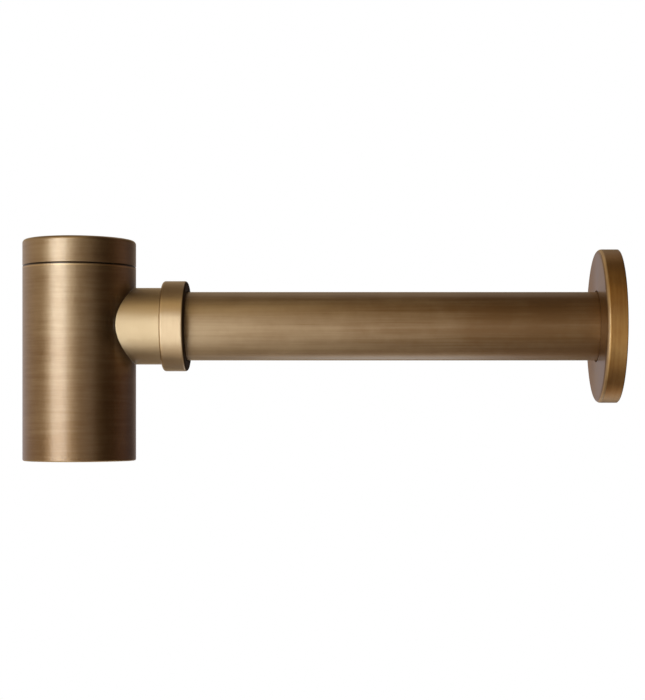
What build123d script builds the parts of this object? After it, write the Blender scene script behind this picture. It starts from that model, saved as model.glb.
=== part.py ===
from build123d import *
import os

# Bottle trap for a basin: bottle, screwed cap with dip tube, spigot with slip nut, pipe and wall flange.
# Millimetres. The origin is the centre of the inlet at the cap's top face.
# +Z points up the inlet, +X along the outlet pipe to the wall.

# Overall sizes
trap_height = 102.8
wall_reach = 251.3
outlet_drop = 40.0

# Bottle
body_od = 52.4
body_wall = 1.8
base_thickness = 3.0
base_round = 0.8
floor_round = 1.5
rim_land = 1.15
seam_break = 0.35

# Inlet cap, threaded inside for the tail of a basin waste
cap_height = 12.2
cap_top_round = 1.7
inlet_thread_od = 41.91
inlet_thread_depth = 7.7
inlet_bevel = 1.0
ledge_thickness = 2.8
skirt_lead = 0.8

# Dip tube
dip_od = 32.0
dip_wall = 1.0
dip_socket_depth = 7.0
dip_foot_gap = 11.0

# Rubber rings at the inlet and under the cap
washer_thickness = 2.5
washer_recess = 0.6
cap_seal_section = 1.8

# Outlet spigot
spigot_wall = 1.75
spigot_showing = 13.2
port_lip = 1.5
stop_setback = 3.0
thread_setback = 0.8
mouth_land = 0.3

# Slip nut with its slip ring and tapered rubber seal
nut_wall = 3.05
nut_length = 11.3
nut_shoulder = 2.4
nut_front_round = 1.3
nut_back_round = 1.2
friction_ring_thickness = 1.0
outlet_seal_thickness = 3.0
outlet_seal_nose = 0.7

# Outlet pipe
pipe_od = 32.0
pipe_wall = 1.0
pipe_edge_break = 0.3
pipe_push_room = 3.5

# Wall flange, a hollow cup with an inner collar
flange_od = 71.6
flange_depth = 9.7
flange_wall = 1.6
flange_front_round = 2.0
flange_back_break = 0.3
flange_groove_setback = 2.0
flange_seal_section = 2.35
collar_wall = 1.6
collar_lip = 1.2

# Clearances, radial or along the axis
inlet_thread_gap = 0.05
cap_thread_space = 1.0
cap_thread_relief = 0.5
socket_gap = 0.05
seal_gap = 0.05
spigot_thread_depth = 0.65
nut_thread_gap = 0.1
pipe_slip_gap = 0.15
nut_pipe_gap = 0.3
flange_pipe_gap = 0.8
flush_gap = 0.3

# Places along the inlet, measured down from the top face
inlet_thread_end = inlet_bevel + inlet_thread_depth
ledge_top = inlet_thread_end + washer_thickness
ledge_bottom = ledge_top + ledge_thickness
skirt_end = ledge_bottom + dip_socket_depth
floor_depth = trap_height - base_thickness
dip_end = floor_depth - dip_foot_gap

# Radii about the inlet
body_r = body_od / 2
bore_r = body_r - body_wall
seat_r = body_r - rim_land
skirt_r = seat_r - cap_seal_section - 2 * seal_gap
mouth_r = skirt_r + cap_thread_space
inlet_r = inlet_thread_od / 2 + inlet_thread_gap
washer_seat_r = inlet_r + washer_recess
dip_r = dip_od / 2
dip_bore_r = dip_r - dip_wall
dip_socket_r = dip_r + socket_gap

# Radii about the outlet
pipe_r = pipe_od / 2
pipe_bore_r = pipe_r - pipe_wall
spigot_bore_r = pipe_r + pipe_slip_gap
spigot_r = spigot_bore_r + spigot_wall
spigot_root_r = spigot_r - spigot_thread_depth
port_r = pipe_r - port_lip
nut_bore_r = spigot_r + nut_thread_gap
nut_r = nut_bore_r + nut_wall
nut_hole_r = pipe_r + nut_pipe_gap
grip_r = pipe_r + seal_gap
flange_r = flange_od / 2
flange_hole_r = pipe_r + flange_pipe_gap
groove_r = grip_r + flange_seal_section + seal_gap
collar_r = groove_r + collar_wall

# Places along the outlet, measured from the bottle's axis
nut_start = body_r + spigot_showing
nut_end = nut_start + nut_length
shoulder_x = nut_end - nut_shoulder
friction_ring_x = shoulder_x - seal_gap - friction_ring_thickness
outlet_seal_end = friction_ring_x - seal_gap
spigot_end = outlet_seal_end - outlet_seal_thickness
spigot_thread_start = nut_start + thread_setback
stop_x = body_r + stop_setback
pipe_start = stop_x + pipe_push_room
pipe_end = wall_reach - flush_gap
flange_front = wall_reach - flange_depth
groove_start = flange_front + flange_groove_setback
groove_end = groove_start + flange_seal_section + 2 * seal_gap
collar_end = groove_end + collar_lip
mouth_bevel = spigot_wall - spigot_thread_depth - mouth_land


def turned(points, axis, rounds=()):
    """A closed outline on the XZ plane, with its named corners rounded, turned about an axis."""
    outline = make_face(Polyline(*points, close=True))
    for corner, radius in rounds:
        vertex = outline.vertices().sort_by_distance((*corner, 0))[0]
        outline = fillet(vertex, radius)
    return revolve(Plane.XZ * outline, axis=axis)


def turned_on_inlet(points, rounds=()):
    """Points are (radius, depth below the top face)."""
    down = [(r, -depth) for r, depth in points]
    down_rounds = [((r, -depth), radius) for (r, depth), radius in rounds]
    return turned(down, Axis.Z, down_rounds)


def turned_on_outlet(points, rounds=()):
    """Points are (distance from the bottle's axis, radius)."""
    return Pos(0, 0, -outlet_drop) * turned(points, Axis.X, rounds)


def bottle_body():
    """Closed bottle with a rim that seats the cap, and a hole for the spigot."""
    rim_seat = cap_height + cap_seal_section + 2 * seal_gap
    mouth_end = skirt_end + cap_thread_relief
    base_edge = (body_r, trap_height)
    floor_edge = (bore_r, floor_depth)
    shell = turned_on_inlet(
        [
            (seat_r, cap_height),
            (body_r - seam_break, cap_height),
            (body_r, cap_height + seam_break),
            base_edge,
            (0, trap_height),
            (0, floor_depth),
            floor_edge,
            (bore_r, mouth_end),
            (mouth_r, mouth_end),
            (mouth_r, rim_seat),
            (seat_r, rim_seat),
        ],
        [(base_edge, base_round), (floor_edge, floor_round)],
    )
    hole = turned_on_outlet([(0, 0), (0, spigot_r), (stop_x, spigot_r), (stop_x, 0)])
    return shell - hole


def inlet_cap():
    """Cap ring with the inlet thread's bore, a ledge for the washer, and a skirt that holds the dip tube."""
    top_edge = (body_r, 0)
    top_land = body_r - inlet_r - inlet_bevel
    top_round = min(cap_top_round, top_land - seam_break)
    return turned_on_inlet(
        [
            (inlet_r + inlet_bevel, 0),
            top_edge,
            (body_r, cap_height - seam_break),
            (body_r - seam_break, cap_height),
            (skirt_r, cap_height),
            (skirt_r, skirt_end - skirt_lead),
            (skirt_r - skirt_lead, skirt_end),
            (dip_socket_r, skirt_end),
            (dip_socket_r, ledge_bottom),
            (dip_bore_r, ledge_bottom),
            (dip_bore_r, ledge_top),
            (washer_seat_r, ledge_top),
            (washer_seat_r, inlet_thread_end),
            (inlet_r, inlet_thread_end),
            (inlet_r, inlet_bevel),
        ],
        [(top_edge, top_round)],
    )


def inlet_washer():
    """Flat rubber ring on the cap's ledge."""
    outer = washer_seat_r - seal_gap
    return turned_on_inlet(
        [
            (dip_bore_r, inlet_thread_end),
            (outer, inlet_thread_end),
            (outer, ledge_top),
            (dip_bore_r, ledge_top),
        ]
    )


def cap_seal():
    """Rubber ring round the top of the skirt, in the seat of the bottle's rim."""
    section_r = cap_seal_section / 2
    centre = (skirt_r + seal_gap + section_r, -(cap_height + seal_gap + section_r))
    return revolve(Plane.XZ * Pos(*centre) * Circle(section_r), axis=Axis.Z)


def dip_tube():
    """Tube that carries the water down below the outlet."""
    return turned_on_inlet(
        [
            (dip_bore_r, ledge_bottom),
            (dip_r, ledge_bottom),
            (dip_r, dip_end),
            (dip_bore_r, dip_end),
        ]
    )


def outlet_spigot():
    """Short tube brazed into the bottle's side, with a stop for the pipe and a threaded end."""
    tube = turned_on_outlet(
        [
            (0, port_r),
            (0, spigot_r),
            (spigot_thread_start, spigot_r),
            (spigot_thread_start + spigot_thread_depth, spigot_root_r),
            (spigot_end, spigot_root_r),
            (spigot_end, spigot_bore_r + mouth_bevel),
            (spigot_end - mouth_bevel, spigot_bore_r),
            (stop_x, spigot_bore_r),
            (stop_x, port_r),
        ]
    )
    inside = Pos(0, 0, -trap_height / 2) * Cylinder(bore_r, trap_height)
    return tube - inside


def outlet_nut():
    """Round slip nut with soft edges and an inner shoulder that presses the rings."""
    front_edge = (nut_start, nut_r)
    back_edge = (nut_end, nut_r)
    return turned_on_outlet(
        [
            (nut_start, nut_bore_r),
            front_edge,
            back_edge,
            (nut_end, nut_hole_r),
            (shoulder_x, nut_hole_r),
            (shoulder_x, nut_bore_r),
        ],
        [(front_edge, nut_front_round), (back_edge, nut_back_round)],
    )


def friction_ring():
    """Thin slip ring between the nut's shoulder and the rubber, small enough to pass the nut's thread."""
    end = friction_ring_x + friction_ring_thickness
    inner = pipe_r + pipe_slip_gap
    return turned_on_outlet(
        [
            (friction_ring_x, inner),
            (friction_ring_x, spigot_root_r),
            (end, spigot_root_r),
            (end, inner),
        ]
    )


def outlet_seal():
    """Rubber ring that passes the nut's thread, its tapered nose in the spigot's bevelled mouth."""
    nose_tip = spigot_end - min(outlet_seal_nose, mouth_bevel)
    face_x = spigot_end + seal_gap
    cone_offset = spigot_bore_r + mouth_bevel - spigot_end - 2 * seal_gap
    return turned_on_outlet(
        [
            (nose_tip, grip_r),
            (nose_tip, nose_tip + cone_offset),
            (face_x, face_x + cone_offset),
            (face_x, spigot_root_r),
            (outlet_seal_end, spigot_root_r),
            (outlet_seal_end, grip_r),
        ]
    )


def outlet_pipe():
    """Straight pipe from the spigot to the wall, with its edges broken."""
    return turned_on_outlet(
        [
            (pipe_start, pipe_bore_r),
            (pipe_start, pipe_r - pipe_edge_break),
            (pipe_start + pipe_edge_break, pipe_r),
            (pipe_end - pipe_edge_break, pipe_r),
            (pipe_end, pipe_r - pipe_edge_break),
            (pipe_end, pipe_bore_r),
        ]
    )


def wall_flange():
    """Hollow cup, open towards the wall, with a grooved collar round the pipe."""
    inner_r = flange_r - flange_wall
    inner_x = flange_front + flange_wall
    front_edge = (flange_front, flange_r)
    return turned_on_outlet(
        [
            (flange_front, flange_hole_r),
            front_edge,
            (wall_reach - flange_back_break, flange_r),
            (wall_reach, flange_r - flange_back_break),
            (wall_reach, inner_r),
            (inner_x, inner_r),
            (inner_x, collar_r),
            (collar_end, collar_r),
            (collar_end, flange_hole_r),
            (groove_end, flange_hole_r),
            (groove_end, groove_r),
            (groove_start, groove_r),
            (groove_start, flange_hole_r),
        ],
        [(front_edge, flange_front_round)],
    )


def flange_seal():
    """Rubber ring in the collar's groove, which grips the pipe."""
    section_r = flange_seal_section / 2
    centre = ((groove_start + groove_end) / 2, grip_r + section_r)
    ring = revolve(Plane.XZ * Pos(*centre) * Circle(section_r), axis=Axis.X)
    return Pos(0, 0, -outlet_drop) * ring


PIECES = [
    bottle_body,
    outlet_spigot,
    inlet_cap,
    inlet_washer,
    cap_seal,
    dip_tube,
    outlet_nut,
    friction_ring,
    outlet_seal,
    outlet_pipe,
    wall_flange,
    flange_seal,
]

os.makedirs("parts", exist_ok=True)
for piece in PIECES:
    export_step(piece(), f"parts/{piece.__name__}.step")

print(f"water seal {dip_end - outlet_drop - port_r:.1f} mm deep")
print(f"cap thread engaged over {skirt_end - cap_height - cap_seal_section:.1f} mm")
print(f"nut thread engaged over {spigot_end - spigot_thread_start:.1f} mm")
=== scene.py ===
# %% [markdown]
# A round bottle trap in aged bronze
#
# This lesson dresses a bottle trap, the waste fitting under a basin. The solids come from the CAD frame and
# stay where they are. Blender adds what a metal worker adds last: the finish of each surface, the screw
# threads, and the braze that runs round the spigot's foot. The frame's box is kept. Colours go to the picture
# as they are, with no film look.

import math

import bpy
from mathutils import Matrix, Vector


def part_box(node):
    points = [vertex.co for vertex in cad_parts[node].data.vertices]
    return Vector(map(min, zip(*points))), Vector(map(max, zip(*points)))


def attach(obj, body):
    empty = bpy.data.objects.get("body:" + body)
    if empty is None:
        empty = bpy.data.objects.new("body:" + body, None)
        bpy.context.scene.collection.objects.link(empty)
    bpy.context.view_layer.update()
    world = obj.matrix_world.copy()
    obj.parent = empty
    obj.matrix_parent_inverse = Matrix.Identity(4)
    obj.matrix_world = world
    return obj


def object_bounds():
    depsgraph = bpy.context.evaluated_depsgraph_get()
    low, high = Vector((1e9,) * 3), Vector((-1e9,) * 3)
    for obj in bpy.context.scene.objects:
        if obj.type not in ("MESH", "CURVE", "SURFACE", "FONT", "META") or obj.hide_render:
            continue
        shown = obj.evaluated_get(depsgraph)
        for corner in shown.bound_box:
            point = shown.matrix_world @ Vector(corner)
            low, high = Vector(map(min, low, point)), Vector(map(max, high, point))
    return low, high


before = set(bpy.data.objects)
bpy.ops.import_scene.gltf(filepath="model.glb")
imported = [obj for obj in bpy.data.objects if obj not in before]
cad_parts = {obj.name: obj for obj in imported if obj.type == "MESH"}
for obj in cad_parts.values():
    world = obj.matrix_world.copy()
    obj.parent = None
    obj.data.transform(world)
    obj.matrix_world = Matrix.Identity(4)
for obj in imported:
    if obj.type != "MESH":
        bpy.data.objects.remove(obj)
cad_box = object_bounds()
scene = bpy.context.scene
scene.view_settings.view_transform = "Standard"
print("pieces in the frame:", ", ".join(sorted(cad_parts)))

# %% [markdown]
# The camera
#
# The picture was taken with a long lens, straight at the side of the trap, from in front of the pipe and
# level with the lower half of the bottle. The lens could be found by trial, but the ellipses of nut and
# flange give it in pixels of the photograph, so it is set as focal length over the long side, times the
# sensor. The frame's middle isn't the lens's middle, so a small shift puts the trap where it belongs in
# the picture. All lengths are metres, and MM turns millimetres into them.

# %% Place the camera
MM = 0.001
PHOTO_SIZE = (645, 700)
PHOTO_FOCAL = 1646.0
PHOTO_LENS_AXIS = (369.0, 411.8)
CAMERA_PLACE = (135.4 * MM, -770.0 * MM, -80.0 * MM)
NEAREST_SEEN = 10.0 * MM

camera_data = bpy.data.cameras.new("photo_camera")
camera = bpy.data.objects.new("photo_camera", camera_data)
scene.collection.objects.link(camera)
scene.camera = camera
camera.location = CAMERA_PLACE
camera.rotation_euler = (math.pi / 2, 0, 0)
long_side = max(PHOTO_SIZE)
camera_data.lens = PHOTO_FOCAL / long_side * camera_data.sensor_width
camera_data.shift_x = (PHOTO_SIZE[0] / 2 - PHOTO_LENS_AXIS[0]) / long_side
camera_data.shift_y = (PHOTO_LENS_AXIS[1] - PHOTO_SIZE[1] / 2) / long_side
camera_data.clip_start = NEAREST_SEEN
print(f"lens {camera_data.lens:.1f} mm, shift {camera_data.shift_x:.3f}, {camera_data.shift_y:.3f}")

# %% [markdown]
# Sums with sockets
#
# Every finish below is a sum of noises, and a sum is easier to read as Python than as a list of nodes. This
# small class wraps one output socket. An operator on it adds a Math node, and add() makes any other node:
# first its settings, then the values or links of its inputs. The same class serves the node trees that make
# meshes, because both kinds of tree use the same Math node.


# %% A socket that can be reckoned with
class Wire:
    """One output socket in a node tree. Operators on it add Math nodes."""

    def __init__(self, tree, socket=None):
        self.tree = tree
        self.socket = socket

    def plug(self, target, value):
        """Link a wire to an input socket, or set the socket to a plain value."""
        if isinstance(value, Wire):
            self.tree.links.new(value.socket, target)
        else:
            target.default_value = value

    def add(self, kind, settings=None, inputs=None, out=0):
        """Make a node, set it up, fill its inputs, and return the wire from one of its outputs."""
        node = self.tree.nodes.new(kind)
        for name, value in (settings or {}).items():
            setattr(node, name, value)
        for key, value in (inputs or {}).items():
            self.plug(node.inputs[key], value)
        return Wire(self.tree, node.outputs[out] if len(node.outputs) else None)

    def math(self, operation, *values):
        return self.add("ShaderNodeMath", {"operation": operation}, dict(enumerate(values)))

    def __add__(self, other):
        return self.math("ADD", self, other)

    def __sub__(self, other):
        return self.math("SUBTRACT", self, other)

    def __mul__(self, other):
        return self.math("MULTIPLY", self, other)

    def __truediv__(self, other):
        return self.math("DIVIDE", self, other)

    def __pow__(self, other):
        return self.math("POWER", self, other)

    def __neg__(self):
        return self.math("MULTIPLY", self, -1.0)

    def __abs__(self):
        return self.math("ABSOLUTE", self)

    def __radd__(self, other):
        return self.math("ADD", other, self)

    def __rsub__(self, other):
        return self.math("SUBTRACT", other, self)

    def __rmul__(self, other):
        return self.math("MULTIPLY", other, self)

    def __rtruediv__(self, other):
        return self.math("DIVIDE", other, self)

    def larger(self, other):
        return self.math("MAXIMUM", self, other)

    def smaller(self, other):
        return self.math("MINIMUM", self, other)

    def step(self, low, high):
        """0 below low, 1 above high, smooth between. It falls instead where low is above high."""
        inputs = {"Value": self, "From Min": low, "From Max": high}
        return self.add("ShaderNodeMapRange", {"interpolation_type": "SMOOTHSTEP"}, inputs)

    def parts(self):
        """The x, y and z of a vector."""
        first = self.add("ShaderNodeSeparateXYZ", None, {0: self})
        return [Wire(self.tree, socket) for socket in first.socket.node.outputs]

    def vector(self, x, y, z):
        return self.add("ShaderNodeCombineXYZ", None, {0: x, 1: y, 2: z})

    def blend(self, first, second):
        """A colour between two colours, with this wire as the factor."""
        # The Mix node has a set of sockets for each kind of data, and these are the colour ones.
        return self.add("ShaderNodeMix", {"data_type": "RGBA"}, {0: self, 6: first, 7: second}, out=2)

    def noise(self, scale, detail=3.0, rough=0.5):
        """Noise from 0 to 1 at this vector."""
        inputs = {"Vector": self, "Scale": scale, "Detail": detail, "Roughness": rough}
        return self.add("ShaderNodeTexNoise", None, inputs)


print("a Wire knows:", ", ".join(name for name in vars(Wire) if not name.startswith("_")))


# %% Colours, distances and blank materials
def colour(red, green, blue):
    return (red, green, blue, 1.0)


def from_axis(first, second):
    """How far a point lies from an axis, from its two distances across the axis."""
    return (first * first + second * second) ** 0.5


def blank_material(name):
    """A material with an empty node tree, and a wire to build in it."""
    material = bpy.data.materials.new(name)
    material.use_nodes = True
    material.node_tree.nodes.clear()
    return material, Wire(material.node_tree)


WHITE = colour(1.0, 1.0, 1.0)
print("white is", WHITE)

# %% [markdown]
# The room
#
# A metal looks like what stands round it. The photograph's bottle has one tall bright band on its left and
# goes almost black on its right, so the room was warm on the left, less so above and below, and dark on the
# right, with a dim wall far over there. Walls could be modelled, but a world colour that depends only on
# direction does the same and throws no shadow. The camera itself sees plain white. The metal mirrors a dim,
# bluish cloth behind the trap instead, because a white cloth that the lamps don't reach looks so.

# %% Tone the room by direction
ROOM_LEFT = colour(0.40, 0.31, 0.20)
ROOM_RIGHT = colour(0.045, 0.028, 0.014)
RIGHT_WALL = colour(0.145, 0.085, 0.050)
OVERHEAD_SHARE = 0.35
STEEP_TO_LEVEL = (0.75, 0.10)
LEFT_TO_RIGHT = (-0.40, 0.80)
WALL_SIDE, WALL_FRONT, WALL_BACK = (0.60, 0.95), (-0.20, 0.30), (0.70, 0.35)

world = bpy.data.worlds.new("studio_room")
scene.world = world
world.use_nodes = True
world.node_tree.nodes.clear()
room = Wire(world.node_tree)
# In a world this output is the direction: 1 is far right, straight behind the trap, and overhead.
across, depth, upward = room.add("ShaderNodeTexCoord", out="Generated").parts()
level = (upward * upward).step(*STEEP_TO_LEVEL)
left_side = 1.0 - across.step(*LEFT_TO_RIGHT)
lit_left = left_side * (OVERHEAD_SHARE + (1.0 - OVERHEAD_SHARE) * level)
room_tone = (1.0 - lit_left).blend(ROOM_LEFT, ROOM_RIGHT)
right_wall = across.step(*WALL_SIDE) * depth.step(*WALL_FRONT) * depth.step(*WALL_BACK)
room_tone = right_wall.blend(room_tone, RIGHT_WALL)
print("room tone from", ROOM_LEFT[:3], "to", ROOM_RIGHT[:3])

# %% Hang the cloth and show the camera white
SHADED_CLOTH = colour(0.58, 0.64, 1.0)
CLOTH_IN_METAL = 0.24
CLOTH_AT_RIGHT = 0.25
CLOTH_TOP, CLOTH_BOTTOM = (0.30, -0.05), (-0.40, -0.08)
CLOTH_SIDE, CLOTH_DEPTH = (0.35, -0.12), (-0.35, 0.85)

cloth_height = upward.step(*CLOTH_TOP) * upward.step(*CLOTH_BOTTOM)
cloth_side = CLOTH_AT_RIGHT + (1.0 - CLOTH_AT_RIGHT) * across.step(*CLOTH_SIDE)
cloth = depth.step(*CLOTH_DEPTH) * cloth_height * cloth_side
camera_ray = room.add("ShaderNodeLightPath", out="Is Camera Ray")
glossy_ray = room.add("ShaderNodeLightPath", out="Is Glossy Ray")
clear_ray = room.add("ShaderNodeLightPath", out="Is Transmission Ray")
mirrored_cloth = glossy_ray.larger(clear_ray) * cloth * CLOTH_IN_METAL
mirrored_room = mirrored_cloth.blend(room_tone, SHADED_CLOTH)
backdrop = room.add("ShaderNodeBackground", None, {"Color": camera_ray.blend(mirrored_room, WHITE)})
room.add("ShaderNodeOutputWorld", None, {"Surface": backdrop})
print("world nodes:", len(world.node_tree.nodes))

# %% [markdown]
# The softboxes
#
# Metal is lit with large soft lamps, because the metal shows each lamp as a bright patch of the lamp's own
# shape. Glowing planes would do it too, but an area lamp is cleaner to render. Six stand where their patches
# are wanted: a tall cool one in front on the left for the bottle's bright band, a weak one in front, three
# warm ones over the trap, and a wide one below. A lamp's strength is given as the brightness of its face, so
# that a larger one isn't brighter in the metal, only larger.


# %% Hang the softboxes
def softbox(name, place, aim, size, radiance, tint):
    """A rectangular lamp whose face has the given radiance, aimed at a point."""
    lamp = bpy.data.lights.new(name, "AREA")
    lamp.shape = "RECTANGLE"
    lamp.size, lamp.size_y = size
    lamp.energy = radiance * math.pi * size[0] * size[1]
    lamp.color = tint
    box = bpy.data.objects.new(name, lamp)
    scene.collection.objects.link(box)
    box.location = place
    box.rotation_euler = (Vector(aim) - Vector(place)).to_track_quat("-Z", "Y").to_euler()
    box.visible_camera = False
    print(f"{name}: {size[0]:.2f} x {size[1]:.2f} m, radiance {radiance}")


pipe_low, pipe_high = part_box("outlet_pipe")
outlet_z = (pipe_low.z + pipe_high.z) / 2
softbox(
    "key_softbox", place=(-0.318, -0.509, -0.225), aim=(0.0, 0.0, -0.225),
    size=(0.34, 0.93), radiance=2.4, tint=(0.87, 0.97, 1.06),
)
softbox(
    "front_fill", place=(0.17, -0.35, -0.14), aim=(0.0, 0.0, -0.06),
    size=(0.18, 0.30), radiance=0.24, tint=(1.0, 0.90, 0.76),
)
softbox(
    "top_softbox", place=(-0.19, -0.32, 0.36), aim=(0.02, 0.0, outlet_z),
    size=(0.46, 0.32), radiance=0.42, tint=(1.0, 0.79, 0.38),
)
softbox(
    "pipe_strip", place=(0.06, -0.13, 0.36), aim=(0.10, 0.0, outlet_z),
    size=(0.09, 0.24), radiance=0.30, tint=(1.0, 0.78, 0.42),
)
softbox(
    "back_strip", place=(0.15, 0.27, 0.36), aim=(0.15, 0.0, outlet_z),
    size=(0.30, 0.24), radiance=0.20, tint=(1.0, 0.92, 0.82),
)
softbox(
    "low_bounce", place=(-0.30, -0.18, -0.50), aim=(0.02, 0.0, outlet_z),
    size=(0.60, 0.50), radiance=0.38, tint=(1.0, 0.85, 0.62),
)

# %% [markdown]
# The floor
#
# The trap hangs under a basin, so the floor is 0.62 m below it. It takes the soft shadow and lights the
# underside of the pipe. An endless plane would do that too, but this one is only as large as it has to be,
# and its paint lets it fade into the white round it instead of ending in a line.

# %% Lay the floor
FLOOR_DROP = 0.62
FLOOR_HALF = 1.45

floor_z = cad_box[0].z - FLOOR_DROP
corner_signs = [(-1, -1), (1, -1), (1, 1), (-1, 1)]
floor_corners = [(x * FLOOR_HALF, y * FLOOR_HALF, floor_z) for x, y in corner_signs]
floor_mesh = bpy.data.meshes.new("floor")
floor_mesh.from_pydata(floor_corners, [], [(0, 1, 2, 3)])
floor = bpy.data.objects.new("floor", floor_mesh)
scene.collection.objects.link(floor)
print(f"floor at {floor_z / MM:.0f} mm")

# %% [markdown]
# The floor's paint
#
# To the lamps the floor is pale and matt. The camera sees it mostly as white, so only a breath of shadow is
# left. In the metal, the stretch behind the trap glows: warm near the trap, where it catches the bronze's own
# colour, and white further back. A brighter lamp on the floor could do this, but it would light the rest as
# well, so the paint asks which kind of ray is looking.

# %% Paint the floor
PALE_MATT = colour(0.80, 0.76, 0.70)
FLOOR_NEAR_TRAP = colour(1.0, 0.78, 0.54)
FLOOR_TO_CAMERA = 0.75
FLOOR_FADE_START = 0.80
WARM_TO_WHITE = (0.20, 0.60)
GLOW_BACK, GLOW_LEFT, GLOW_RIGHT = (0.08, 0.44), (-0.10, 0.16), (0.34, 0.20)

floor_paint, paint = blank_material("pale_floor")
place_x, place_y, _ = paint.add("ShaderNodeTexCoord", out="Object").parts()
seen = paint.add("ShaderNodeLightPath", out="Is Camera Ray")
mirrored = paint.add("ShaderNodeLightPath", out="Is Glossy Ray")
through = paint.add("ShaderNodeLightPath", out="Is Transmission Ray")
mirrored_floor = place_y.step(*WARM_TO_WHITE).blend(FLOOR_NEAR_TRAP, WHITE)
behind_trap = place_y.step(*GLOW_BACK) * place_x.step(*GLOW_LEFT) * place_x.step(*GLOW_RIGHT)
glow = (seen * FLOOR_TO_CAMERA).larger(mirrored.larger(through) * behind_trap)
matt = paint.add("ShaderNodeBsdfDiffuse", None, {"Color": PALE_MATT})
white = paint.add("ShaderNodeEmission", None, {"Color": seen.blend(mirrored_floor, WHITE)})
pale = paint.add("ShaderNodeMixShader", None, {0: glow, 1: matt, 2: white})
clear = paint.add("ShaderNodeBsdfTransparent")
fading = from_axis(place_x, place_y).step(FLOOR_FADE_START, FLOOR_HALF)
faded = paint.add("ShaderNodeMixShader", None, {0: fading, 1: pale, 2: clear})
paint.add("ShaderNodeOutputMaterial", None, {"Surface": faded})
floor_mesh.materials.append(floor_paint)
print(f"floor fades from {FLOOR_FADE_START} to {FLOOR_HALF} m")

# %% [markdown]
# Lines left by the lathe
#
# The bottle, cap, spigot, nut and flange were turned, and the tool leaves rings round the axis. The pipe was
# drawn, and its lines run lengthwise. The lines could be cut into the mesh, but they are far too fine. Rings
# come from one number instead: the distance along the axis plus the distance from it. On a side wall only
# the first part changes, on a flat face only the second, and round a rounded edge the rings flow from one to
# the other.

# %% Where the lines lie
ROUND_EACH_RING = 0.06
ALONG_EACH_LINE = 0.02


def turned_rings(wire, along, side_a, side_b):
    """The ring number, and a vector that changes fast from ring to ring and slowly round each ring."""
    ring = along + from_axis(side_a, side_b)
    return ring, wire.vector(ring, side_a * ROUND_EACH_RING, side_b * ROUND_EACH_RING)


def inlet_rings(wire):
    """Rings about the bottle's upright axis."""
    x, y, z = wire.add("ShaderNodeTexCoord", out="Object").parts()
    return turned_rings(wire, z, x, y)


def outlet_rings(wire):
    """Rings about the outlet's level axis."""
    x, y, z = wire.add("ShaderNodeTexCoord", out="Object").parts()
    return turned_rings(wire, x, y, z - outlet_z)


def drawn_lines(wire):
    """The place along the pipe, and a vector that changes fast round the pipe and slowly along it."""
    x, y, z = wire.add("ShaderNodeTexCoord", out="Object").parts()
    return x, wire.vector(x * ALONG_EACH_LINE, y, z - outlet_z)


print("line patterns: inlet rings, outlet rings, drawn lines")

# %% [markdown]
# Aged bronze
#
# The finish is brass that was browned in a bath, rubbed back with a fine pad and lacquered. So it is a metal
# whose colour wanders between brown patina and rubbed bronze. A picture of old bronze could be wrapped round
# each piece, but it would stretch and repeat, so the colours are mixed by noise instead. The flange and the
# pipe are browner than the bottle, so they have tones of their own. The spigot's lighter tone is painted
# light, for the brighter highlight it shows.

# %% The bronze's colours
PATINA = colour(0.33, 0.200, 0.100)
RUBBED = colour(0.57, 0.420, 0.260)
# The spigot's tone is a lighter copy of the rubbed bronze: painted light for the spigot's brighter highlight.
SPIGOT_PAINTED_LIGHT = colour(0.62, 0.465, 0.280)
PIPE_PATINA = colour(0.27, 0.150, 0.060)
DEEP_PATINA = colour(0.22, 0.095, 0.025)
DEEP_RUBBED = colour(0.43, 0.250, 0.088)
BRASS_AND_HIGHLIGHT = colour(0.80, 0.58, 0.32)
WAX_AND_SHADE = colour(0.035, 0.020, 0.012)
print("bronze from", PATINA[:3], "to", RUBBED[:3])

# %% [markdown]
# Wear and wax
#
# The pad rubs hardest on edges, down to the bare brass, and each edge also carries a painted highlight, the
# bright line that a rounded edge shows to the lamps. It can't reach into corners, so dark wax and patina stay
# in the seam under the cap. The bottle round the spigot's foot and the nut's outer end get painted shade in
# the same dark colour. Such places could be painted on by hand, but the ring number already says where an
# edge or a seam is, and the frame's boxes say the rest.

# %% Where the metal is rubbed, holds wax, and gets painted highlight and shade
FOOT_REACH = 7.0 * MM
FOOT_SIDE = 0.3
END_DEPTH = (1.0 * MM, 0.3 * MM)
SHARP_PART = 0.3

bottle_low, bottle_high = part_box("bottle_body")
spigot_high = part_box("outlet_spigot")[1]
nut_low, nut_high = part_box("outlet_nut")
body_r = bottle_high.y
spigot_r = spigot_high.y


def near_any(ring, places):
    """1 on each (place on the line number, half width), 0 away from them."""
    found = None
    for middle, half in places:
        near = abs(ring - middle).step(half, half * SHARP_PART)
        found = near if found is None else found.larger(near)
    return found


def spigot_foot(place):
    """1 on the bottle beside the spigot, falling to 0 at the painted shade's reach."""
    out, side, height = place.parts()
    from_spigot = from_axis(side, height - outlet_z) - spigot_r
    return from_spigot.step(FOOT_REACH, 0.0) * out.step(0.0, FOOT_SIDE * body_r)


def nut_end(place):
    """1 on the nut's outer end, where shade is painted, 0 on the rest of the nut."""
    out, _, _ = place.parts()
    return out.step(*(nut_high.x - inward for inward in END_DEPTH))


print(f"painted shade reaches {FOOT_REACH / MM:.0f} mm from a spigot of {2 * spigot_r / MM:.1f} mm")
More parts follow.
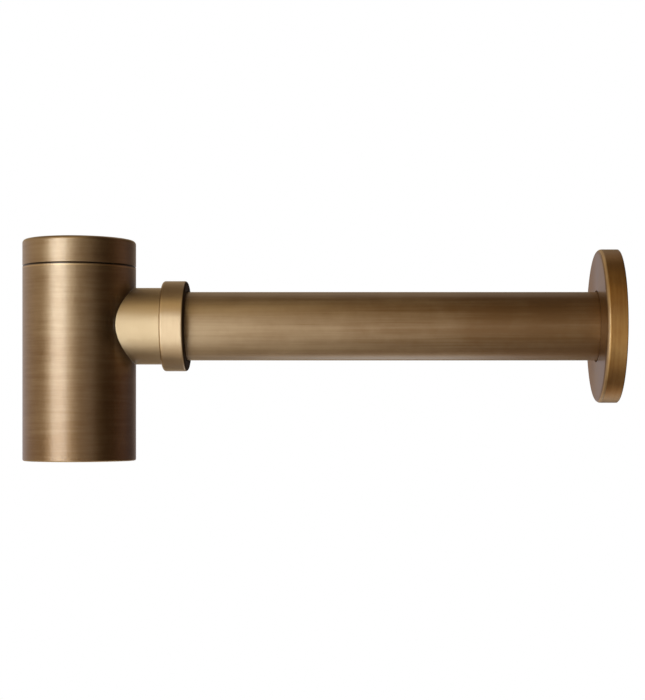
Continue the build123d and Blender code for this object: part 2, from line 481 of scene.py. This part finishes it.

# %% [markdown]
# One recipe for every bronze
#
# Three noises do the work. A very fine one along the lines is the cut itself, a coarser one makes bands, and
# a cloud that ignores the lines stands for uneven browning. They set colour, roughness and a fine bump, which
# spreads the highlights across the lines as on the real thing. Two even changes along the line number go on
# top: lean tilts the surface a little, from lean_from on, as on a wall that isn't turned quite straight, and
# the drift paints shade on, darker towards one end than the other. The lacquer is the shader's clear coat.

# %% Mix a bronze
CUT = {"scale": 12000.0, "detail": 1.0, "rough": 0.5}
BANDS = {"scale": 520.0, "detail": 4.0, "rough": 0.65}
CLOUD = {"scale": 38.0, "detail": 4.0, "rough": 0.6}
RUB_BY_BANDS, RUB_BY_CLOUD, RUB_HELD_BACK = 0.60, 0.65, 0.11
RUB_RANGE = (0.15, 0.95)
ROUGH_BY_BANDS, ROUGH_BY_CLOUD, ROUGH_HELD_BACK = 0.12, 0.10, 0.10
BANDS_IN_BUMP = 0.3
LEAST_WEAR_AND_SHEEN = 0.55
WEAR_AND_SHEEN_RANGE = (0.30, 0.60)
SEAM_WAX = 0.95
END_SHADE_ROUGHER = 0.5
LACQUER = {"Coat Roughness": 0.22, "Coat IOR": 1.6}


def aged_bronze(
    name, lines, tones=(PATINA, RUBBED), bump=0.05 * MM, rough=0.30, rub=0.0, lean=0.0, lean_from=-1.0,
    shade_drift=0.0, coat=1.0, edges=(), seams=(), painted_foot_shade=0.0, painted_end_shade=0.0,
):
    """Browned, rubbed and lacquered brass. Edges are rubbed through to the brass and carry a painted
    highlight, seams hold dark wax, and the foot, the nut's end and the drift paint shade.
    """
    material, wire = blank_material(name)
    ring, path = lines(wire)
    place = wire.add("ShaderNodeTexCoord", out="Object")
    cut = path.noise(**CUT)
    bands = path.noise(**BANDS)
    cloud = place.noise(**CLOUD)
    uneven = RUB_BY_BANDS * bands + RUB_BY_CLOUD * cloud - RUB_HELD_BACK
    # The drift adds painted shade: the colour darkens steadily towards one end.
    tone = (uneven + rub + ring * shade_drift).step(*RUB_RANGE).blend(*tones)
    roughness = rough - ROUGH_HELD_BACK + ROUGH_BY_BANDS * bands + ROUGH_BY_CLOUD * cloud
    # Edges: rubbed brass, partly a painted highlight where a rounding catches the lamps.
    if edges:
        patchy = LEAST_WEAR_AND_SHEEN + (1.0 - LEAST_WEAR_AND_SHEEN) * cloud.step(*WEAR_AND_SHEEN_RANGE)
        tone = (near_any(ring, edges) * patchy).blend(tone, BRASS_AND_HIGHLIGHT)
    if seams:
        tone = (near_any(ring, seams) * SEAM_WAX).blend(tone, WAX_AND_SHADE)
    # Painted shade on the bottle round the spigot's foot.
    if painted_foot_shade:
        tone = (spigot_foot(place) * painted_foot_shade).blend(tone, WAX_AND_SHADE)
    # Painted shade on the nut's outer end: a dark colour, more roughness and less coat.
    if painted_end_shade:
        end_shaded = nut_end(place) * painted_end_shade
        tone = end_shaded.blend(tone, WAX_AND_SHADE)
        roughness = roughness + end_shaded * END_SHADE_ROUGHER
        coat = coat - coat * end_shaded
    height = cut + BANDS_IN_BUMP * bands + ring.larger(lean_from) * (lean / bump)
    relief = wire.add("ShaderNodeBump", None, {"Strength": 1.0, "Distance": bump, "Height": height})
    metal = {"Base Color": tone, "Metallic": 1.0, "Roughness": roughness, "Normal": relief}
    bronze = wire.add("ShaderNodeBsdfPrincipled", None, {**metal, "Coat Weight": coat, **LACQUER})
    wire.add("ShaderNodeOutputMaterial", None, {"Surface": bronze})
    print("finish:", name)
    return material


print("noises to the metre:", CUT["scale"], BANDS["scale"], CLOUD["scale"])

# %% [markdown]
# The bottle's bronze
#
# Bottle and cap were turned and browned alike, so one finish serves both, and its rings run on across the
# seam. The rim, the bottom edge and the lip under the cap are rubbed to the brass and carry a painted
# highlight, and the seam is dark. A ring could be modelled for each, but a mark on the ring number is
# enough: the height plus the radius, with half the width of the mark. Up the bottle the colour grows a little
# lighter, which is its drift: painted shade, darker towards the bottom, where the lamps reach less. The
# bottle round the spigot's foot gets painted shade too.

# %% Mix the bottle's bronze
cap_low, cap_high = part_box("inlet_cap")
base_edge = (bottle_low.z + body_r, 0.7 * MM)
rim_edge = (cap_high.z + body_r, 0.8 * MM)
lip_edge = (bottle_high.z + body_r - 1.1 * MM, 0.45 * MM)
cap_seam = (bottle_high.z + body_r - 0.2 * MM, 0.55 * MM)
bottle_bronze = aged_bronze(
    "bottle_bronze", inlet_rings, rub=0.10, shade_drift=4.0, edges=(base_edge, rim_edge, lip_edge),
    seams=(cap_seam,), painted_foot_shade=0.75,
)

# %% [markdown]
# The outlet's bronzes
#
# Spigot, nut, flange and pipe lie along the outlet, and each is rubbed to its own degree. Spigot and nut are
# rubbed lighter as painted light, for the brighter light they catch. Nut and flange show brass and a painted
# highlight on the edge that faces the bottle, and the nut's outer end gets painted shade. The nut leans only
# beyond its rounded edge, so that the edge keeps its own bright line. The pipe grows darker towards the wall,
# which is painted shade. One shared finish would be shorter, but the photograph shows four shades, so the
# recipe is used four times.

# %% Mix the outlet's bronzes
flange_low, flange_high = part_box("wall_flange")
nut_r = nut_high.y
flange_r = flange_high.y
nut_edge = (nut_low.x + nut_r - 0.3 * MM, 2.0 * MM)
flange_edge = (flange_low.x + flange_r + 0.6 * MM, 1.3 * MM)
spigot_bronze = aged_bronze(
    "spigot_bronze", outlet_rings, (PATINA, SPIGOT_PAINTED_LIGHT), bump=0.04 * MM, rough=0.43, rub=0.55, lean=0.22,
)
# The nut's outer end is given painted shade.
nut_bronze = aged_bronze(
    "nut_bronze", outlet_rings, bump=0.04 * MM, rough=0.34, rub=0.47, lean=0.22,
    lean_from=nut_low.x + nut_r + 1.1 * MM, edges=(nut_edge,), painted_end_shade=0.94,
)
flange_bronze = aged_bronze(
    "flange_bronze", outlet_rings, (DEEP_PATINA, DEEP_RUBBED), bump=0.022 * MM, rough=0.30, rub=0.05,
    lean=0.30, coat=0.4, edges=(flange_edge,),
)
# The pipe's drift is painted shade: it darkens towards the wall.
pipe_bronze = aged_bronze(
    "pipe_bronze", drawn_lines, (PIPE_PATINA, RUBBED), bump=0.03 * MM, rough=0.46, rub=0.44,
    lean=0.075, shade_drift=-3.2,
)

# %% [markdown]
# Dress the metal
#
# Each solid is one piece of metal and wears one finish. A finish could be given face by face, but the masks
# above already know their places, so the whole piece takes it. The frame's objects bring a material slot, and
# the finish goes into that slot.


# %% Dress the metal pieces
def dress(material, *nodes):
    """Give each node's object one material."""
    for node in nodes:
        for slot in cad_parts[node].material_slots:
            slot.material = material
    print(material.name, "on", ", ".join(nodes))


dress(bottle_bronze, "bottle_body", "inlet_cap")
dress(spigot_bronze, "outlet_spigot")
dress(nut_bronze, "outlet_nut")
dress(flange_bronze, "wall_flange")
dress(pipe_bronze, "outlet_pipe")

# %% [markdown]
# Inside finishes
#
# What the bottle hides is seen when the cap or the nut is backed off. The dip tube is bare drawn brass, the
# seals are black rubber with a fine moulded grain, and the slip ring is white plastic with faint flow marks.
# Flat colours would look like toys close up, so one short recipe gives all three a slow change of colour and
# a grain of their own.

# %% Brass, rubber and plastic
PATCH_SCALE = 90.0
PATCH_SHARE = 0.7
SPECK_DETAIL = 2.0
DARK_TO_LIGHT = (0.3, 0.7)
ROUGH_SPREAD = 0.12


def plain_finish(name, dark, light, metallic, rough, grain, bump):
    """A finish that wanders between two close colours, with a fine grain."""
    material, wire = blank_material(name)
    place = wire.add("ShaderNodeTexCoord", out="Object")
    patch = place.noise(PATCH_SCALE)
    speck = place.noise(grain, SPECK_DETAIL)
    relief = wire.add("ShaderNodeBump", None, {"Distance": bump, "Height": speck})
    mixed = PATCH_SHARE * patch + (1.0 - PATCH_SHARE) * speck
    look = {
        "Base Color": mixed.step(*DARK_TO_LIGHT).blend(dark, light),
        "Metallic": metallic,
        "Roughness": rough - ROUGH_SPREAD / 2 + ROUGH_SPREAD * speck,
        "Normal": relief,
    }
    surface = wire.add("ShaderNodeBsdfPrincipled", None, look)
    wire.add("ShaderNodeOutputMaterial", None, {"Surface": surface})
    return material


bare_brass = plain_finish(
    "bare_brass", colour(0.58, 0.42, 0.20), colour(0.76, 0.60, 0.32),
    metallic=1.0, rough=0.32, grain=1800.0, bump=0.01 * MM,
)
seal_rubber = plain_finish(
    "seal_rubber", colour(0.022, 0.022, 0.022), colour(0.045, 0.044, 0.042),
    metallic=0.0, rough=0.62, grain=2600.0, bump=0.02 * MM,
)
ring_plastic = plain_finish(
    "ring_plastic", colour(0.78, 0.77, 0.72), colour(0.88, 0.87, 0.83),
    metallic=0.0, rough=0.45, grain=900.0, bump=0.01 * MM,
)
dress(bare_brass, "dip_tube")
dress(ring_plastic, "friction_ring")
dress(seal_rubber, "inlet_washer", "cap_seal", "outlet_seal", "flange_seal")

# %% [markdown]
# Pieces made by a rule
#
# A thread is one profile carried along a helix, and the braze is one curve carried round the spigot's foot.
# They could be drawn point by point in Python, but both are rules, so a node tree makes them, and only its
# inputs change from one thread to the next. The result is then turned into a plain mesh, which rides on the
# body that carries it.


# %% Start and end a tree
def rule_tree(name, inputs):
    """An empty mesh-making tree with named inputs, and a wire for each input."""
    tree = bpy.data.node_groups.new(name, "GeometryNodeTree")
    tree.interface.new_socket("Geometry", in_out="OUTPUT", socket_type="NodeSocketGeometry")
    for label, kind in inputs:
        tree.interface.new_socket(label, in_out="INPUT", socket_type="NodeSocket" + kind)
    outputs = Wire(tree).add("NodeGroupInput").socket.node.outputs
    print(f"{name} takes", ", ".join(label for label, _ in inputs))
    return tree, {label: Wire(tree, outputs[label]) for label, _ in inputs}


def end_tree(geometry, finish):
    """Close the tree: real geometry with its material."""
    real = geometry.add("GeometryNodeRealizeInstances", None, {0: geometry})
    made = real.add("GeometryNodeSetMaterial", None, {"Geometry": real, "Material": finish})
    made.add("NodeGroupOutput", None, {"Geometry": made})


print("trees can be started and ended")


# %% Bake a tree into a piece
def bake(name, tree, values, body):
    """Run the tree with these inputs, keep the result as a plain mesh, and let it ride on a body."""
    piece = bpy.data.objects.new(name, bpy.data.meshes.new(name + "_start"))
    scene.collection.objects.link(piece)
    maker = piece.modifiers.new("maker", "NODES")
    maker.node_group = tree
    for item in tree.interface.items_tree:
        if item.in_out == "INPUT":
            maker[item.identifier] = values[item.name]
    evaluated = piece.evaluated_get(bpy.context.evaluated_depsgraph_get())
    mesh = bpy.data.meshes.new_from_object(evaluated)
    mesh.name = name
    piece.modifiers.clear()
    piece.data = mesh
    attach(piece, body)
    spans = [sorted(corner[i] / MM for corner in piece.bound_box) for i in range(3)]
    reach = ", ".join(f"{span[0]:.2f} to {span[-1]:.2f}" for span in spans)
    print(f"{name}: {len(mesh.polygons)} faces, {reach} mm")


print("trees can be baked")

# %% [markdown]
# Screw threads
#
# The CAD walls stand at the roots of the threads, so a thread is a ridge wound on its wall. A screw modifier
# could wind it, but its ends would be cut off square. Here a small four-sided section runs along a spiral
# and is kept upright, so that it always faces the axis. The ridge fades out over half a turn at both ends,
# as a cut thread does. A ridge in a bore has a negative depth, which turns the section over.

# %% The thread's helix
THREAD_INPUTS = [
    ("Root Radius", "Float"),
    ("Depth", "Float"),
    ("Pitch", "Float"),
    ("Turns", "Float"),
    ("Start", "Vector"),
    ("Turn To", "Rotation"),
    ("Finish", "Material"),
]
STEPS_PER_TURN = 96
FADE_TURNS = 0.5
THIN_END = 0.02

thread_tree, given = rule_tree("screw_thread", THREAD_INPUTS)
turns, pitch = given["Turns"], given["Pitch"]
helix = turns.add(
    "GeometryNodeCurveSpiral",
    None,
    {
        "Resolution": STEPS_PER_TURN,
        "Rotations": turns,
        "Start Radius": given["Root Radius"],
        "End Radius": given["Root Radius"],
        "Height": turns * pitch,
    },
)
upright = helix.add("GeometryNodeSetCurveNormal", {"mode": "Z_UP"}, {"Curve": helix})
along = helix.add("GeometryNodeSplineParameter", out="Factor")
to_nearer_end = along.smaller(1.0 - along) * turns
fade = (to_nearer_end / FADE_TURNS).smaller(1.0).larger(THIN_END)
print("helix with", STEPS_PER_TURN, "steps to the turn")

# %% The thread's ridge
ROOT_SHARE = 0.78
CREST_SHARE = 0.16
SEAT_SINK = 0.02 * MM

crest = -given["Depth"]
facing = crest.math("SIGN", crest)
seat = facing * -SEAT_SINK
half_root = pitch * facing * (ROOT_SHARE / 2)
half_crest = pitch * facing * (CREST_SHARE / 2)
section = crest.add(
    "GeometryNodeCurvePrimitiveQuadrilateral",
    {"mode": "POINTS"},
    {
        "Point 1": crest.vector(seat, -half_root, 0.0),
        "Point 2": crest.vector(crest, -half_crest, 0.0),
        "Point 3": crest.vector(crest, half_crest, 0.0),
        "Point 4": crest.vector(seat, half_root, 0.0),
    },
)
ridge = helix.add(
    "GeometryNodeCurveToMesh",
    None,
    {"Curve": upright, "Profile Curve": section, "Scale": fade, "Fill Caps": True},
)
placed = ridge.add(
    "GeometryNodeTransform",
    None,
    {"Geometry": ridge, "Translation": given["Start"], "Rotation": given["Turn To"]},
)
end_tree(placed, given["Finish"])
print("thread rule with", len(thread_tree.nodes), "nodes")

# %% [markdown]
# Walls that carry a thread
#
# A thread has to sit on the metal that carries it. Its radius could be typed in, but then it would float or
# sink when the CAD changes, so the wall is measured: the least or greatest distance from the axis among the
# piece's own points, in the stretch where the thread will be.


# %% Measure a wall and wind a thread
def wall_radius(node, pick, axis, low, high):
    """The least or greatest distance from an axis of a node's points that lie in a stretch along it."""
    found = []
    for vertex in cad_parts[node].data.vertices:
        x, y, z = vertex.co
        place, distance = (z, math.hypot(x, y)) if axis == "Z" else (x, math.hypot(y, z - outlet_z))
        if low <= place <= high:
            found.append(distance)
    print(f"wall of {node}: {pick(found) / MM:.3f} mm from the axis")
    return pick(found)


def wind(name, body, axis, root, depth, pitch, start, end, material):
    """One thread along the inlet or the outlet, from start to end. A negative depth is a ridge in a bore."""
    on_outlet = axis == "X"
    values = {
        "Root Radius": root,
        "Depth": depth,
        "Pitch": pitch,
        "Turns": (end - start) / pitch,
        "Start": (start, 0.0, outlet_z) if on_outlet else (0.0, 0.0, start),
        "Turn To": (0.0, math.pi / 2, 0.0) if on_outlet else (0.0, 0.0, 0.0),
        "Finish": material,
    }
    bake(name, thread_tree, values, body)


print("walls can be measured and threads wound")

# %% [markdown]
# The inlet's thread
#
# The basin's waste screws into the cap with the standard inch and a quarter pipe thread, 11 turns to the
# inch. It is one ridge in the cap's bore, above the washer that the waste's tail seats on, and it stops short
# of the mouth, where a real bore is chamfered.

# %% Wind the inlet's thread
INLET_PITCH = 2.309 * MM
INLET_DEPTH = 1.479 * MM
ABOVE_WASHER = 0.8 * MM
BELOW_MOUTH = 1.6 * MM
CHAMFER = 0.5 * MM

washer_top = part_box("inlet_washer")[1].z
inlet_root = wall_radius("inlet_cap", min, "Z", washer_top - MM, -CHAMFER)
wind(
    "inlet_thread", "cap", "Z", inlet_root, -INLET_DEPTH, INLET_PITCH,
    start=washer_top + ABOVE_WASHER, end=-BELOW_MOUTH, material=bottle_bronze,
)

# %% [markdown]
# The cap's thread
#
# The cap's skirt screws down into the bottle's mouth until its rubber ring is pressed. Skirt and mouth each
# carry a ridge. The mouth's starts half a pitch further on, so that each ridge lies in the other's groove and
# stays there while the cap turns.

# %% Wind the cap's thread and its mate
CAP_PITCH = 1.5 * MM
CAP_DEPTH = 0.80 * MM
SKIRT_LEAD = 1.5 * MM
SKIRT_RUN_OUT = 0.7 * MM
MOUTH_RUN_OUT = 0.9 * MM

seal_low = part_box("cap_seal")[0].z
skirt_root = wall_radius("inlet_cap", max, "Z", cap_low.z, seal_low)
mouth_root = wall_radius("bottle_body", min, "Z", cap_low.z - MM, seal_low)
skirt_start = cap_low.z + SKIRT_LEAD
wind(
    "cap_thread", "cap", "Z", skirt_root, CAP_DEPTH, CAP_PITCH,
    start=skirt_start, end=seal_low - SKIRT_RUN_OUT, material=bottle_bronze,
)
wind(
    "bottle_thread", "bottle", "Z", mouth_root, -CAP_DEPTH, CAP_PITCH,
    start=skirt_start + CAP_PITCH / 2, end=seal_low - MOUTH_RUN_OUT, material=bottle_bronze,
)

# %% [markdown]
# The nut's thread
#
# The slip nut draws the pipe's rubber ring into the spigot's mouth. Its thread is finer than the cap's,
# because there is less wall to cut it in. Again the two ridges start half a pitch apart.

# %% Wind the nut's thread and its mate
NUT_PITCH = 1.0 * MM
NUT_DEPTH = 0.55 * MM
NUT_LEAD = 1.9 * MM
NUT_RUN_OUT = 0.6 * MM
SPIGOT_RUN_OUT = 0.3 * MM

spigot_end = spigot_high.x
thread_start = nut_low.x + NUT_LEAD
spigot_root = wall_radius("outlet_spigot", max, "X", spigot_end - MM, spigot_end)
wind(
    "spigot_thread", "bottle", "X", spigot_root, NUT_DEPTH, NUT_PITCH,
    start=thread_start, end=spigot_end - SPIGOT_RUN_OUT, material=spigot_bronze,
)
nut_root = wall_radius("outlet_nut", min, "X", nut_low.x, thread_start)
ring_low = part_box("friction_ring")[0].x
wind(
    "nut_thread", "nut", "X", nut_root, -NUT_DEPTH, NUT_PITCH,
    start=thread_start + NUT_PITCH / 2, end=ring_low - NUT_RUN_OUT, material=nut_bronze,
)

# %% [markdown]
# The braze at the spigot's foot
#
# The spigot is brazed into the bottle's side, which leaves a small hollow fillet round the saddle where the
# two cylinders meet. A bevel can't be cut between two separate solids. But the fillet's foot on the bottle
# and its foot on the spigot both follow from the two radii, so a flat grid can be sent there point by point:
# one way round the spigot, the other way across the fillet. The last two rows run back under the fillet,
# inside the metal, so that the ring is closed.

# %% The grid that becomes the fillet
BRAZE_INPUTS = [
    ("Bottle Radius", "Float"),
    ("Spigot Radius", "Float"),
    ("Leg", "Float"),
    ("Outlet Height", "Float"),
    ("Finish", "Material"),
]
BRAZE_ROUND = 145
BRAZE_ACROSS = 10
LAST_ROW = BRAZE_ACROSS - 1

braze_tree, given = rule_tree("braze_fillet", BRAZE_INPUTS)
bottle_r, edge_r, leg = given["Bottle Radius"], given["Spigot Radius"], given["Leg"]
grid = bottle_r.add(
    "GeometryNodeMeshGrid",
    None,
    {"Size X": 1.0, "Size Y": 1.0, "Vertices X": BRAZE_ROUND, "Vertices Y": BRAZE_ACROSS},
)
grid_x, grid_y, _ = bottle_r.add("GeometryNodeInputPosition").parts()
angle = (grid_x + 0.5) * math.tau
row = (grid_y + 0.5) * LAST_ROW
closing = row.math("GREATER_THAN", row, LAST_ROW - 0.5)
under = row.math("GREATER_THAN", row, LAST_ROW - 1.5) - closing
share = (row / (LAST_ROW - 2)).smaller(1.0) * (1.0 - closing)
side = angle.math("COSINE", angle)
rise = angle.math("SINE", angle)
print("braze grid:", BRAZE_ROUND, "by", BRAZE_ACROSS)

# %% Bend the grid round the saddle
BRAZE_SINK = 0.15 * MM
SAME_POINT = 0.001 * MM


def on_bottle(distance):
    """The bottle's surface at a distance from the outlet's axis, along this spoke."""
    sideways = side * distance
    return (bottle_r * bottle_r - sideways * sideways) ** 0.5


def bend(first, middle, last):
    """A smooth bend from first to last that leans on the middle point."""
    back = 1.0 - share
    return back * back * first + 2.0 * share * back * middle + share * share * last


foot_r = edge_r + leg
across_r = bend(foot_r, edge_r, edge_r)
outward = bend(on_bottle(foot_r), on_bottle(edge_r), on_bottle(edge_r) + leg)
across_r = across_r + under * (edge_r - BRAZE_SINK - across_r)
outward = outward + under * (on_bottle(edge_r) - BRAZE_SINK - outward)
target = bottle_r.vector(outward, side * across_r, rise * across_r + given["Outlet Height"])
moved = grid.add("GeometryNodeSetPosition", None, {"Geometry": grid, "Position": target})
closed = moved.add("GeometryNodeMergeByDistance", None, {"Geometry": moved, "Distance": SAME_POINT})
smooth = closed.add("GeometryNodeSetShadeSmooth", None, {"Geometry": closed})
end_tree(smooth, given["Finish"])
print("braze rule with", len(braze_tree.nodes), "nodes")

# %% Run the braze
BRAZE_LEG = 0.4 * MM

braze_values = {
    "Bottle Radius": body_r,
    "Spigot Radius": spigot_r,
    "Leg": BRAZE_LEG,
    "Outlet Height": outlet_z,
    "Finish": bottle_bronze,
}
bake("spigot_braze", braze_tree, braze_values, "bottle")

# %% [markdown]
# The trap's size
#
# A finish must not change how large the trap is, or it would no longer fit what it screws on to. The frame's
# box, measured at the start, is kept in cad_box.
